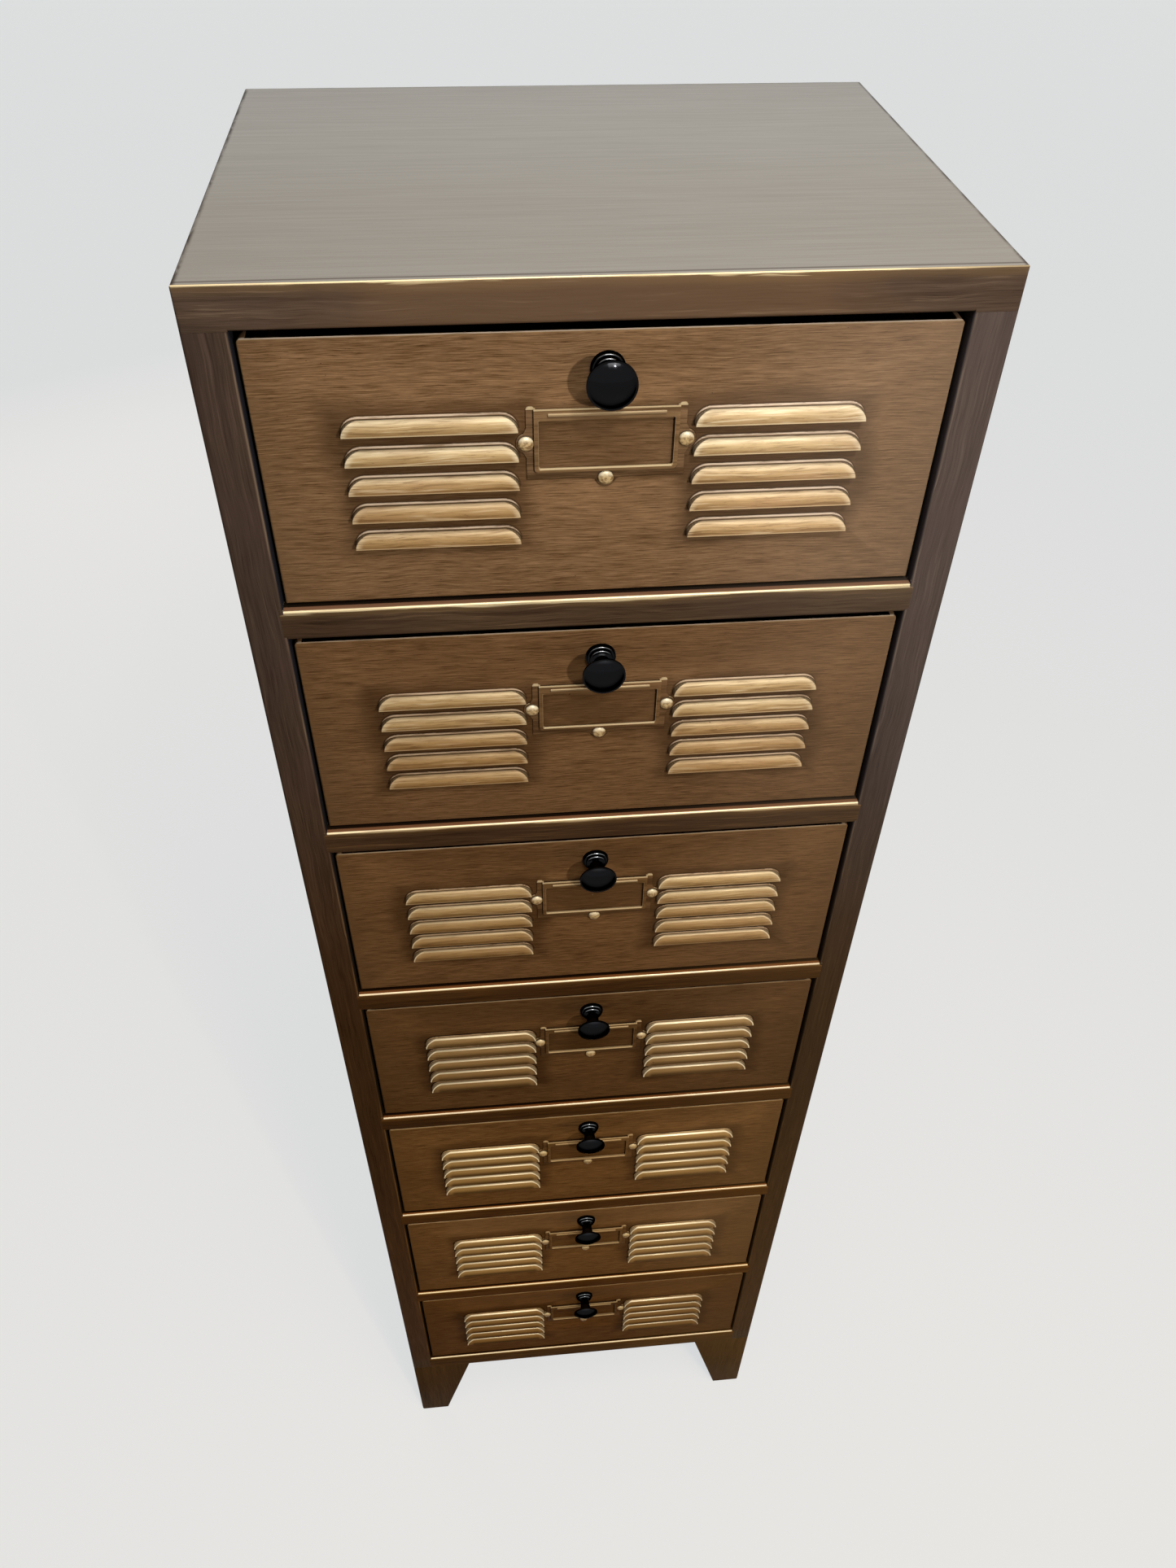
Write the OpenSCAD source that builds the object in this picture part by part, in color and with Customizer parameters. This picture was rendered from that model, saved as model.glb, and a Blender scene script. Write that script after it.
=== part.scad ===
// Tall sheet-metal drawer cabinet on folded feet, with louvred drawer fronts.
// Millimetres. X is the width, +Y the depth (the front looks towards -Y), Z up.
// The origin is on the floor, at the middle of the overall footprint.

/* [Cabinet] */
// Overall width of the carcass
cabinet_w = 380; // [360:2:480]
// Depth of the carcass, front frame to back
cabinet_d = 300; // [290:2:400]
// Number of drawers, one above the other
drawer_count = 7; // [2:1:7]
// Height of each drawer opening
opening_h = 150; // [146:1:175]
// Height of the feet below the carcass
foot_h = 126; // [90:1:160]

/* [Front frame] */
// Height of the top rail, folded down from the top panel
top_rail_h = 21; // [18:0.5:30]
// Height of the rails between two drawers
mid_rail_h = 18.5; // [12:0.5:30]
// Height of the rail under the lowest drawer
bottom_rail_h = 22; // [20:0.5:30]
// Face width of the upright stiles
stile_w = 21; // [19:0.5:26]
// Thickness of the carcass sheet
sheet_t = 1.2; // [1:0.1:1.5]
// Outer radius of the folded edges
bend_r = 2; // [1.8:0.1:2.5]

/* [Drawers] */
// Thickness of the drawer front sheet
front_t = 1; // [0.8:0.1:1.2]
// Thickness of the drawer box sheet
box_t = 0.8; // [0.6:0.1:1]
// Depth of the drawer box behind its front
box_d = 268; // [240:2:268]
// Height of the drawer box
box_h = 128; // [100:1:132]
// Travel of each drawer up to its stop
drawer_travel = 215; // [120:5:220]
// How far the top drawer front sits behind the frame face
setback_top = 4.6; // [2:0.1:6]
// How far the lowest drawer front sits behind the frame face
setback_bottom = 2; // [1:0.1:4]

/* [Louvres] */
// Louvres in each group, one above the other
louvre_rows = 5; // [3:1:5]
// Spacing of the louvres
louvre_pitch = 15.4; // [13:0.1:15.6]
// Width of one louvre
louvre_w = 84.5; // [60:0.5:88]
// Height of one louvre
louvre_h = 8.7; // [7.5:0.1:9.2]
// How far a louvre lip stands out of the front
louvre_out = 5; // [4:0.1:6]

/* [Fittings] */
// Diameter of the knob head
knob_d = 24; // [20:0.5:30]
// How far the knob stands out of the drawer front
knob_out = 23; // [20:0.5:26]
// Width of the label holder plate
holder_w = 78; // [76:0.5:82]
// Height of the label holder plate
holder_h = 35.6; // [34:0.1:38]

/* [Hidden] */
$fn = 48;

sides = ["left", "right"];

bronze = [0.27, 0.19, 0.13];
front_bronze = [0.40, 0.29, 0.19];
gold = [0.66, 0.52, 0.33];
ebony = [0.03, 0.03, 0.03];
zinc = [0.62, 0.63, 0.64];

// carcass
half_w = cabinet_w / 2;
reach = knob_out - setback_bottom;         // knob tips in front of the frame
front_y = (reach - cabinet_d) / 2;
back_y = front_y + cabinet_d;
pitch = opening_h + mid_rail_h;
total_h = foot_h + bottom_rail_h + drawer_count * opening_h
    + (drawer_count - 1) * mid_rail_h + top_rail_h;
stile_in = half_w - stile_w;               // inner edge of the stiles
lip_d = 12;                                // return lips behind the face
rail_flange = 22;                          // flanges of the U-shaped rails
rear_flange = 15;                          // side panel flange at the back
side_in = half_w - sheet_t;                // inner face of the side panels
back_t = 1;
back_front_y = back_y - sheet_t - back_t;  // inner face of the back panel
deck_z = foot_h + bottom_rail_h;           // top of the bottom panel
deck_flange = 16;
cap_z = total_h - top_rail_h;              // lower edge of the top panel

// feet
foot_top_w = 62;
foot_low_w = 30;
tab_low = 8;                               // tabs lap the foot by this much
tab_up = 16;                               // and the carcass by this much
tab_in = 6;                                // kept in from the foot edge
tab_clear = 3;                             // between a tab and its neighbours
sole_t = 2;

// drawers
side_gap = 1.5;
gap_below = 1.8;
gap_above = 5.2;
front_half = stile_in - side_gap;
front_h = opening_h - gap_below - gap_above;
pan_d = 9;                                 // returns at the sides and the foot of a front
pan_r = 1.6;                               // folds of the drawer front
pan_corner = 3;
box_half = front_half - front_t;
box_r = 1.6;
box_flange = 8;
slide_clear = 0.3;
runner_up = 24;
runner_in = box_half - 14;
runner_z = gap_below + front_t - slide_clear;   // above the rail
stop_h = 20;
stop_in = 8;
lug_out = stile_in + 3;
lug_low = 40;
lug_h = 30;

// louvres
louvre_low = 34.2;                         // lowest lip above the front's edge
louvre_gap = 42.5;                         // from the centre line
plinth_out = 0.9;
plinth_band = 1.5;                         // plinth seen above the hood
plinth_side = 0.3;                         // and beside it
louvre_t = 1;
mouth = 0.5;
sink = 0.3;                                // overlap that joins a shape to its sheet

// label holder, heights above the front's lower edge
holder_z = 68.8;
holder_t = 0.8;
holder_out = 2.4;
channel_x = holder_w / 2 - 3.7;            // outer edge of the raised channel
channel_low = 4;
channel_up = 1.5;                          // channel above the plate
channel_w = 2.2;
window_x = channel_x - channel_w;
window_low = channel_low + channel_w;
bar_h = 5.7;                               // bar above the window
bead_r = 0.9;
bead_x = window_x - 4.6;
ear_w = 4;
ear_up = 2.4;
ear_r = 1.4;
window_r = 1.2;                            // lower corners of the window
tab_r = 4.8;
tab_flare = 3;
side_rivet_z = 19.2;
rivet_apart = 0.3;                         // rivet centres outside the plate's edges

// fasteners
rivet_r = 1.6;
rivet_head_r = 4.05;
rivet_head_rim = 0.3;
rivet_head_h = 2.5;
rivet_tail_r = 2.9;
rivet_tail_h = 1.3;
screw_r = 2;
screw_head_r = 4;
screw_head_h = 2.4;
screw_in = 10;
slot_w = 1;
slot_h = 1.1;
hole_clear = 0.1;
cutter_l = 20;

// knob
knob_z = 124.7;                            // above the front's lower edge
knob_r = knob_d / 2;
knob_base_r = 8.5;
knob_base_h = 1.4;
knob_ring_r = 0.9;
knob_neck_r = 4.5;
knob_rim_h = 1.1;
knob_dome_h = 4;
bore_depth = screw_in + 1.5;

bend_steps = 5;
curve_steps = 8;

function setback(k) = setback_top
    + (setback_bottom - setback_top) * (k - 1) / (drawer_count - 1);
function rail_top(k) = deck_z + (drawer_count - k) * pitch;
function face_y(k) = front_y + setback(k);
function face_z(k) = rail_top(k) + gap_below;
function box_y(k) = face_y(k) + pan_r;
function rivet_spots(k) =
    let (x = holder_w / 2 + rivet_apart, z = face_z(k) + holder_z)
    [[-x, z + side_rivet_z], [x, z + side_rivet_z], [0, z - rivet_apart]];
lug_y = front_y + lip_d + slide_clear + drawer_travel;

// outlines
function arc(c, r, a0, a1, n) = r > 0
    ? [for (i = [0:n]) let (a = a0 + (a1 - a0) * i / n) c + r * [cos(a), sin(a)]]
    : [c];
function curve(a, b, c, n) =
    [for (i = [0:n]) let (u = i / n) (1 - u) * (1 - u) * a + 2 * u * (1 - u) * b + u * u * c];
// rectangle with its own radius at each corner, from the lower left one round
function panel(x0, x1, y0, y1, r) = concat(
    arc([x0 + r[0], y0 + r[0]], r[0], 180, 270, bend_steps),
    arc([x1 - r[1], y0 + r[1]], r[1], 270, 360, bend_steps),
    arc([x1 - r[2], y1 - r[2]], r[2], 0, 90, bend_steps),
    arc([x0 + r[3], y1 - r[3]], r[3], 90, 180, bend_steps));

// outline of a folded strip of thickness t along the middle line p,
// with every fold on the outer radius r
function left_of(d) = [-d[1], d[0]];
function unit(v) = v / norm(v);
function turn(d, e) = atan2(d[0] * e[1] - d[1] * e[0], d * e);
function fold(a, b, c, t, r, side) =
    let (d = unit(b - a), th = turn(d, unit(c - b)), s = sign(th), m = r - t / 2,
        ctr = b - m * tan(abs(th) / 2) * d + s * m * left_of(d),
        a0 = atan2(d[1], d[0]) - 90 * s)
    arc(ctr, m - side * s * t / 2, a0, a0 + th, bend_steps);
function strip_side(p, t, r, side) =
    let (n = len(p) - 1)
    [for (i = [0:n]) each
        i == 0 ? [p[0] + side * t / 2 * left_of(unit(p[1] - p[0]))]
        : i == n ? [p[n] + side * t / 2 * left_of(unit(p[n] - p[n - 1]))]
        : fold(p[i - 1], p[i], p[i + 1], t, r, side)];
function reversed(p) = [for (i = [len(p) - 1:-1:0]) p[i]];
function strip(p, t, r) =
    concat(strip_side(p, t, r, 1), reversed(strip_side(p, t, r, -1)));

// a flat outline drawn in (y, z), (x, z) or (x, y), given its extent on the third axis
module along_x(x0, x1) translate([x0, 0, 0]) rotate([90, 0, 90]) linear_extrude(x1 - x0) children();
module along_y(y0, y1) translate([0, y1, 0]) rotate([90, 0, 0]) linear_extrude(y1 - y0) children();
module along_z(z0, z1) translate([0, 0, z0]) linear_extrude(z1 - z0) children();
module block(x0, x1, y0, y1, z0, z1) translate([x0, y0, z0]) cube([x1 - x0, y1 - y0, z1 - z0]);
module both_sides() { children(); mirror([1, 0, 0]) children(); }
module on_side(s) if (s == "left") mirror([1, 0, 0]) children(); else children();
// turned shape, its axis pointing out of the drawer front
module turned_out(x, y, z) translate([x, y, z]) rotate([90, 0, 0]) rotate_extrude() children();
// cutter along the same axis, from depth y outwards
module cutter(x, y, z, r) translate([x, y, z]) rotate([90, 0, 0]) cylinder(r = r, h = cutter_l);

// ---- carcass ----

module rounded_box(x1, y0, y1, z0, z1, r) intersection() {
    along_z(z0, z1) polygon(panel(-x1, x1, y0, y1, [r, r, r, r]));
    along_x(-x1, x1) polygon(panel(y0, y1, z0, z1, [0, 0, r, r]));
    along_y(y0, y1) polygon(panel(-x1, x1, z0, z1, [0, 0, r, r]));
}

// cap with four flanges; its front flange is the top rail
module top_panel() color(bronze) {
    difference() {
        rounded_box(half_w, front_y, back_y, cap_z, total_h, bend_r);
        rounded_box(side_in, front_y + sheet_t, back_y - sheet_t, cap_z - bend_r,
            total_h - sheet_t, bend_r - sheet_t);
        block(-stile_in, stile_in, front_y - bend_r, front_y + bend_r,
            cap_z - bend_r, cap_z + bend_r);
    }
    along_x(-stile_in, stile_in) polygon(strip([
        [front_y + sheet_t / 2, cap_z + 2 * bend_r],
        [front_y + sheet_t / 2, cap_z + sheet_t / 2],
        [front_y + lip_d, cap_z + sheet_t / 2]], sheet_t, bend_r));
}

// side, stile, stile lip and rear flange in one folded sheet
module side_panel(s) color(bronze) on_side(s) along_z(foot_h, cap_z) polygon(strip([
    [stile_in + sheet_t / 2, front_y + lip_d],
    [stile_in + sheet_t / 2, front_y + sheet_t / 2],
    [half_w - sheet_t / 2, front_y + sheet_t / 2],
    [half_w - sheet_t / 2, back_y - sheet_t / 2],
    [half_w - rear_flange, back_y - sheet_t / 2]], sheet_t, bend_r));

module back_panel() color(bronze) block(bend_r - half_w + sheet_t, half_w - bend_r - sheet_t,
    back_front_y, back_y - sheet_t, foot_h, total_h - sheet_t - bend_r);

// weld that fills the rounded fold of the stile, flush with a rail's face
module weld_fill(z0, z1) both_sides() along_z(z0, z1) polygon(concat(
    [[stile_in - sink, front_y]],
    reversed(arc([stile_in + bend_r, front_y + bend_r], bend_r, 180, 270, bend_steps)),
    [[stile_in, front_y + sheet_t], [stile_in - sink, front_y + sheet_t]]));

// U-shaped rail under drawer i
module front_rail(i) color(bronze) {
    low = rail_top(i) - mid_rail_h;
    along_x(-stile_in, stile_in) polygon(strip([
        [front_y + rail_flange, low + sheet_t / 2],
        [front_y + sheet_t / 2, low + sheet_t / 2],
        [front_y + sheet_t / 2, rail_top(i) - sheet_t / 2],
        [front_y + rail_flange, rail_top(i) - sheet_t / 2]], sheet_t, bend_r));
    weld_fill(low + bend_r, rail_top(i) - bend_r);
}

// deck under the lowest drawer; its front fold is the bottom rail
module bottom_panel() color(bronze) {
    along_x(-stile_in, stile_in) polygon(strip([
        [front_y + sheet_t / 2, foot_h],
        [front_y + sheet_t / 2, deck_z - sheet_t / 2],
        [front_y + lip_d + bend_r, deck_z - sheet_t / 2]], sheet_t, bend_r));
    weld_fill(foot_h, deck_z - bend_r);
    block(-side_in, side_in, front_y + lip_d, back_front_y, deck_z - sheet_t, deck_z);
    both_sides() block(side_in - sheet_t, side_in,
        front_y + foot_top_w, back_y - foot_top_w, deck_z - deck_flange, deck_z);
    block(-half_w / 2, half_w / 2, back_front_y - sheet_t, back_front_y,
        deck_z - deck_flange, deck_z);
}

// L-shaped runners with a turned-up stop behind each drawer
module runners(s) color(zinc) on_side(s) for (k = [1:drawer_count]) {
    z = rail_top(k) + runner_z;
    stop_y = box_y(k) + box_d + slide_clear;
    along_y(front_y + max(lip_d, setback(k) + pan_d) + side_gap, back_front_y) polygon(strip([
        [runner_in, z - sheet_t / 2],
        [side_in - sheet_t / 2, z - sheet_t / 2],
        [side_in - sheet_t / 2, z + runner_up]], sheet_t, bend_r));
    block(runner_in + stop_in, side_in - sheet_t / 2, stop_y, stop_y + sheet_t,
        z - sheet_t / 2, z + stop_h);
}

// ---- feet ----

function foot_side(a) = [
    [a - foot_top_w, foot_h], [a, foot_h], [a, 0], [a - foot_low_w, 0]];

// folded corner with tapering legs, welding tabs and a sole, for the front right
module foot_corner() {
    intersection() {
        along_z(0, foot_h) polygon(strip([
            [half_w - foot_top_w, front_y + sheet_t / 2],
            [half_w - sheet_t / 2, front_y + sheet_t / 2],
            [half_w - sheet_t / 2, front_y + foot_top_w]], sheet_t, bend_r));
        along_y(front_y - bend_r, front_y + foot_top_w + bend_r) polygon(foot_side(half_w));
        mirror([0, 1, 0]) along_x(half_w - foot_top_w - bend_r, half_w + bend_r)
            polygon(foot_side(-front_y));
    }
    block(half_w - foot_low_w + bend_r, side_in - bend_r + sheet_t, front_y + sheet_t / 2,
        front_y + foot_low_w - bend_r, 0, sole_t);
    // each tab sinks into the foot's own sheet and lies inside the carcass sheet above it
    for (joint = [0, 1]) block(half_w - 2 * sheet_t, side_in + joint * sheet_t / 2,
        front_y + stile_w + tab_clear, front_y + foot_top_w - tab_in,
        foot_h - tab_low, foot_h + (1 - joint) * tab_up);
}

module foot_front(s) color(bronze) on_side(s) {
    foot_corner();
    for (joint = [0, 1]) block(half_w - foot_top_w + tab_in, stile_in - tab_clear,
        front_y + sheet_t - joint * sheet_t / 2, front_y + 2 * sheet_t,
        foot_h - tab_low, foot_h + (1 - joint) * tab_up);
}

module foot_rear(s) color(bronze) on_side(s) {
    translate([0, front_y + back_y, 0]) mirror([0, 1, 0]) foot_corner();
    block(half_w - foot_top_w + tab_in, half_w - rear_flange - tab_clear, back_y - sheet_t,
        back_y, foot_h - tab_low, foot_h + tab_up);
}

// ---- drawers ----

// louvre outline on the drawer front, inset at its sides and its top, and reaching below
// the lip by low
function oval(x, r, a0) = [for (i = [0:curve_steps]) let (a = a0 + 90 * i / curve_steps)
    [x + r[0] * cos(a), r[1] * sin(a)]];
function tombstone(side, top, low) =
    let (r = [louvre_h - side, louvre_h - top])
    concat(low > 0 ? [[side, -low], [louvre_w - side, -low]] : [],
        oval(louvre_w - louvre_h, r, 0), oval(louvre_h, r, 90));

module louvre_shell() {
    top = louvre_h - plinth_band;
    along_y(-plinth_out, sink) polygon(tombstone(0, 0, 0));
    intersection() {
        along_x(0, louvre_w) polygon(concat([[sink, 0], [sink, top]],
            curve([-plinth_out, top], [-plinth_out - 3, top - sink], [-louvre_out, 0],
                curve_steps)));
        along_y(-louvre_out - sink, sink) polygon(tombstone(plinth_side, plinth_band, 0));
    }
}

module louvre_hollow() {
    top = louvre_h - plinth_band - louvre_t;
    lip = louvre_out - louvre_t;
    intersection() {
        along_x(0, louvre_w) polygon(concat(
            [[front_t + sink, 0], [front_t + sink, top]],
            curve([-sink, top], [-plinth_out - 2, top - sink], [-lip, 0], curve_steps),
            [[-lip, -mouth], [-sink / 10, -mouth], [-sink / 10, 0]]));
        along_y(-louvre_out - sink, front_t + 2 * sink)
            polygon(tombstone(plinth_side + louvre_t, plinth_band + louvre_t, mouth));
    }
}

module at_louvres() both_sides() for (i = [0:louvre_rows - 1])
    translate([louvre_gap, 0, louvre_low + i * louvre_pitch]) children();

// shallow pan: x half-width, start and end depth, bottom, height, fold and corner radii
module pan(x, y0, y1, z0, z1, r, corner) intersection() {
    along_y(y0, y1) polygon(panel(-x, x, z0, z1, [r, r, corner, corner]));
    along_z(z0, z1) polygon(panel(-x, x, y0, y1, [r, r, 0, 0]));
    along_x(-x, x) polygon(panel(y0, y1, z0, z1, [r, 0, 0, r]));
}

module drawer_front(k) color(front_bronze) difference() {
    translate([0, face_y(k), face_z(k)]) difference() {
        union() {
            pan(front_half, 0, pan_d, 0, front_h, pan_r, pan_corner);
            at_louvres() louvre_shell();
        }
        pan(box_half, front_t, pan_d + pan_r, front_t, front_h - front_t,
            pan_r - front_t, pan_corner - front_t);
        // the upper edge of the sheet has no return
        block(pan_corner - box_half, box_half - pan_corner, front_t, pan_d + sink,
            front_h - pan_corner, front_h + sink);
        at_louvres() louvre_hollow();
    }
    for (p = rivet_spots(k)) cutter(p[0], face_y(k) + pan_d, p[1], rivet_r + hole_clear);
    cutter(0, face_y(k) + pan_d, face_z(k) + knob_z, screw_r + hole_clear);
}

// open-topped box; its bent lugs meet the stile lips at full travel
module drawer_box(k) color(front_bronze) {
    low = face_z(k) + front_t;
    top = low + box_h;
    mid = box_half - box_t / 2;
    rear = box_y(k) + box_d;
    along_y(box_y(k), rear) polygon(strip([
        [box_flange - box_half, top - box_t / 2], [-mid, top - box_t / 2],
        [-mid, low + box_t / 2], [mid, low + box_t / 2],
        [mid, top - box_t / 2], [box_half - box_flange, top - box_t / 2]], box_t, box_r));
    along_y(rear - box_t, rear) polygon(panel(-box_half, box_half, low, top,
        [box_r, box_r, box_r, box_r]));
    both_sides() block(box_half - box_t / 2, lug_out, lug_y, lug_y + box_t,
        low + lug_low, low + lug_low + lug_h);
}

// rounded tab round a rivet, widening onto the plate edge along the X axis
module rivet_tab() {
    translate([0, rivet_apart]) circle(r = tab_r);
    polygon([[-tab_r - tab_flare, 0], [-tab_r, tab_r / 3], [tab_r, tab_r / 3],
        [tab_r + tab_flare, 0]]);
}

module label_holder(k) color(gold) {
    half = holder_w / 2;
    win_top = holder_h + channel_up - bar_h;
    difference() {
        translate([0, face_y(k), face_z(k) + holder_z]) {
            difference() {
                union() {
                    along_y(-holder_t, 0) {
                        translate([-half, 0]) square([holder_w, holder_h]);
                        both_sides() polygon(panel(half - ear_w, half, 0, holder_h + ear_up,
                            [0, 0, ear_r, ear_r]));
                        both_sides() translate([half, side_rivet_z]) rotate(-90) rivet_tab();
                        rotate(180) rivet_tab();
                    }
                    along_y(-holder_out, 0) polygon(panel(-channel_x, channel_x, channel_low,
                        holder_h + channel_up, [bend_r, bend_r, 0, 0]));
                }
                // pocket for the card, open at the top
                block(-channel_x + holder_t, channel_x - holder_t, -holder_out + holder_t, sink,
                    channel_low + holder_t, holder_h + 2 * ear_up);
                // window
                along_y(-holder_out - sink, sink) polygon(panel(-window_x, window_x,
                    window_low, win_top, [window_r, window_r, 0, 0]));
            }
            translate([-bead_x, -holder_out, (win_top + holder_h + channel_up) / 2])
                rotate([0, 90, 0]) cylinder(r = bead_r, h = 2 * bead_x);
        }
        for (p = rivet_spots(k)) cutter(p[0], face_y(k) + pan_d, p[1], rivet_r + hole_clear);
    }
}

// domed head in front of the label holder, tail formed behind the sheet
module label_rivets(k) color(gold) for (p = rivet_spots(k))
    turned_out(p[0], face_y(k), p[1]) polygon(concat(
        [[0, -front_t - rivet_tail_h], [rivet_tail_r, -front_t - rivet_tail_h],
            [rivet_tail_r, -front_t], [rivet_r, -front_t], [rivet_r, holder_t],
            [rivet_head_r, holder_t]],
        curve([rivet_head_r, holder_t + rivet_head_rim],
            [rivet_head_r - 2 * rivet_head_rim, holder_t + rivet_head_h],
            [0, holder_t + rivet_head_h], curve_steps)));

// turned knob with a ringed foot, a waisted neck and a mushroom head
module knob(k) color(ebony) {
    rim = knob_out - knob_dome_h - knob_rim_h;
    ring_z = knob_base_h + knob_ring_r;
    neck_z = ring_z + 3 * knob_ring_r;
    turned_out(0, face_y(k), face_z(k) + knob_z) polygon(concat(
        [[0, bore_depth], [screw_r + hole_clear, bore_depth], [screw_r + hole_clear, 0],
            [knob_base_r, 0], [knob_base_r, knob_base_h]],
        arc([knob_base_r - 1.5 * knob_ring_r, ring_z], knob_ring_r, -90, 90, curve_steps),
        arc([knob_base_r - 3 * knob_ring_r, ring_z + 2 * knob_ring_r], knob_ring_r, -60, 90,
            curve_steps),
        curve([knob_neck_r, neck_z + knob_ring_r], [knob_neck_r - knob_ring_r, rim],
            [knob_r, rim], curve_steps),
        [[knob_r, rim + knob_rim_h]],
        curve([knob_r - knob_ring_r, rim + knob_rim_h],
            [knob_r / 2 + knob_ring_r, knob_out], [0, knob_out], curve_steps)));
}

// pan-head screw from inside the drawer
module knob_screw(k) color(zinc) difference() {
    turned_out(0, face_y(k), face_z(k) + knob_z) polygon([
        [0, -front_t - screw_head_h], [screw_head_r - box_t, -front_t - screw_head_h],
        [screw_head_r, -front_t - screw_head_h + box_t], [screw_head_r, -front_t],
        [screw_r, -front_t], [screw_r, screw_in - screw_r / 2], [screw_r / 2, screw_in],
        [0, screw_in]]);
    block(-screw_head_r - sink, screw_head_r + sink, face_y(k) + front_t + screw_head_h - slot_h,
        face_y(k) + front_t + screw_head_h + sink, face_z(k) + knob_z - slot_w / 2,
        face_z(k) + knob_z + slot_w / 2);
}

top_panel();
bottom_panel();
back_panel();
for (s = sides) {
    side_panel(s);
    runners(s);
    foot_front(s);
    foot_rear(s);
}
for (i = [1:drawer_count - 1])
    front_rail(i);
for (k = [1:drawer_count]) {
    drawer_front(k);
    drawer_box(k);
    label_holder(k);
    label_rivets(k);
    knob(k);
    knob_screw(k);
}
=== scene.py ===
from types import SimpleNamespace
import bpy
from mathutils import Matrix, Vector


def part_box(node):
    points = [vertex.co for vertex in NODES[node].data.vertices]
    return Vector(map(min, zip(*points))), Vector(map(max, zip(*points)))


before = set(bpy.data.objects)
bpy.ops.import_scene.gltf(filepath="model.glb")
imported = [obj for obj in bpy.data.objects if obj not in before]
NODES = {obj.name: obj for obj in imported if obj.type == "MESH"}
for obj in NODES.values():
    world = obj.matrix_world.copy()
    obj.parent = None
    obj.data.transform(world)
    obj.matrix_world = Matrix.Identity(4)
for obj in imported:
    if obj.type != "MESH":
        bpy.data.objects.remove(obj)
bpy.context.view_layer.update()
COUNT = len([n for n in NODES if n.startswith("drawer_front_")])

# Looks, floor, light and camera for the cabinet. All lengths are in metres, and drawer 1 is the
# top one. Materials are tied to the rest position, so they ride with the drawers.

# Places on the carcass
FRONT_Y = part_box("side_panel_left")[0].y
TOP_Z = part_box("top_panel")[1].z
TOP_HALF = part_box("top_panel")[1].x
TOP_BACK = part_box("top_panel")[1].y
DECK_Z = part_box("bottom_panel")[1].z
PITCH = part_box("front_rail_1")[1].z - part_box("front_rail_2")[1].z
FRONT_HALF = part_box("drawer_front_1")[1].x
SIDE_GAP = 0.0015                      # between a drawer front and the stile
STILE_IN = FRONT_HALF + SIDE_GAP

# Drawer fronts, as heights above the rail below; each stands FACE_STEP behind the one under it
FACE_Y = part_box("label_holder_%d" % COUNT)[1].y
FACE_STEP = (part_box("label_holder_1")[1].y - FACE_Y) / (COUNT - 1)
FRONT_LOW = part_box("drawer_front_%d" % COUNT)[0].z - DECK_Z
FRONT_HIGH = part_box("drawer_front_%d" % COUNT)[1].z - DECK_Z

# Louvres, as heights above the rail below and distances from the middle
LOUVRE_Z = FRONT_LOW + 0.0342
LOUVRE_PITCH = 0.0154
LOUVRE_H = 0.0087
LOUVRE_X = 0.0425
LOUVRE_W = 0.0845
LOUVRE_ROWS = 5
BAND = 0.0015                          # plinth seen above each louvre hood
BAND_SIDE = 0.0003                     # and beside it
GROUP_X = LOUVRE_X + LOUVRE_W / 2
GROUP_HALF_X = LOUVRE_W / 2
GROUP_TOP = LOUVRE_Z + (LOUVRE_ROWS - 1) * LOUVRE_PITCH + LOUVRE_H
GROUP_Z = (LOUVRE_Z + GROUP_TOP) / 2
GROUP_HALF_Z = (GROUP_TOP - LOUVRE_Z) / 2

# The label holder: its plate, the tabs for its rivets, its raised channel and its window
PLATE_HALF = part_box("label_holder_1")[1].x - 0.0056
PLATE_LOW = FRONT_LOW + 0.0688
PLATE_H = 0.0356
PLATE_T = 0.0008
TAB_R = 0.0048
TAB_OUT = 0.0003
TAB_UP = 0.0192
CHANNEL_X = PLATE_HALF - 0.0037
CHANNEL_Z = PLATE_LOW + 0.0040
WINDOW_X = CHANNEL_X - 0.0022
WINDOW_Z = PLATE_LOW + 0.0062
WINDOW_TOP = PLATE_LOW + 0.0314

# Axes that brush streaks are thin on
UPRIGHT = 0
SIDEWAYS = 2

# Heights between which the tone of the paint turns
UPPER = 1.15                           # the rail under drawer 1
UPPER_LOUVRES = 1.08                   # in drawer 2; louvres above it are brushed
MIDDLE = 0.75                          # in drawer 4
LOWER_LOUVRES = 0.62                   # the top of drawer 5; louvres below it are smooth
LOWER = 0.55                           # in drawer 5
FLOORWARD = 0.20                       # in drawer 7
RIGHT_SIDE = 0.16                      # x of full painted sheen

# Colours, in linear light: the gilding
GOLD = (0.56, 0.390, 0.185)
GOLD_LOW = (0.30, 0.180, 0.070)
GOLD_PALE = (0.70, 0.53, 0.30)
CREAM = (0.78, 0.64, 0.41)
ROSE = (0.46, 0.275, 0.150)
SHADE_AND_SPECKS = (0.012, 0.007, 0.004)          # painted shade in creases, gaps and under lips; also the colour of dark specks

# The drawer fronts
BROWN = (0.120, 0.061, 0.024)
BROWN_LIGHT = (0.305, 0.174, 0.084)
BROWN_PALE = (0.330, 0.205, 0.120)     # painted light above the louvres of the lower fronts
BRUSHED = (0.370, 0.235, 0.130)
MARK = (0.052, 0.024, 0.009)
# painted shade round the louvres, round the label holder and on fronts 2 to 4; a darker brown
# towards the front's edges
LOUVRE_SHADE = (0.064, 0.031, 0.012)
THIN_SHADE = (0.085, 0.042, 0.016)
EDGE_BROWN = (0.110, 0.062, 0.030)
RIM_WORN_AND_LIT = (0.66, 0.53, 0.40)
FRONT_CHIP = (0.62, 0.55, 0.45)

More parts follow.
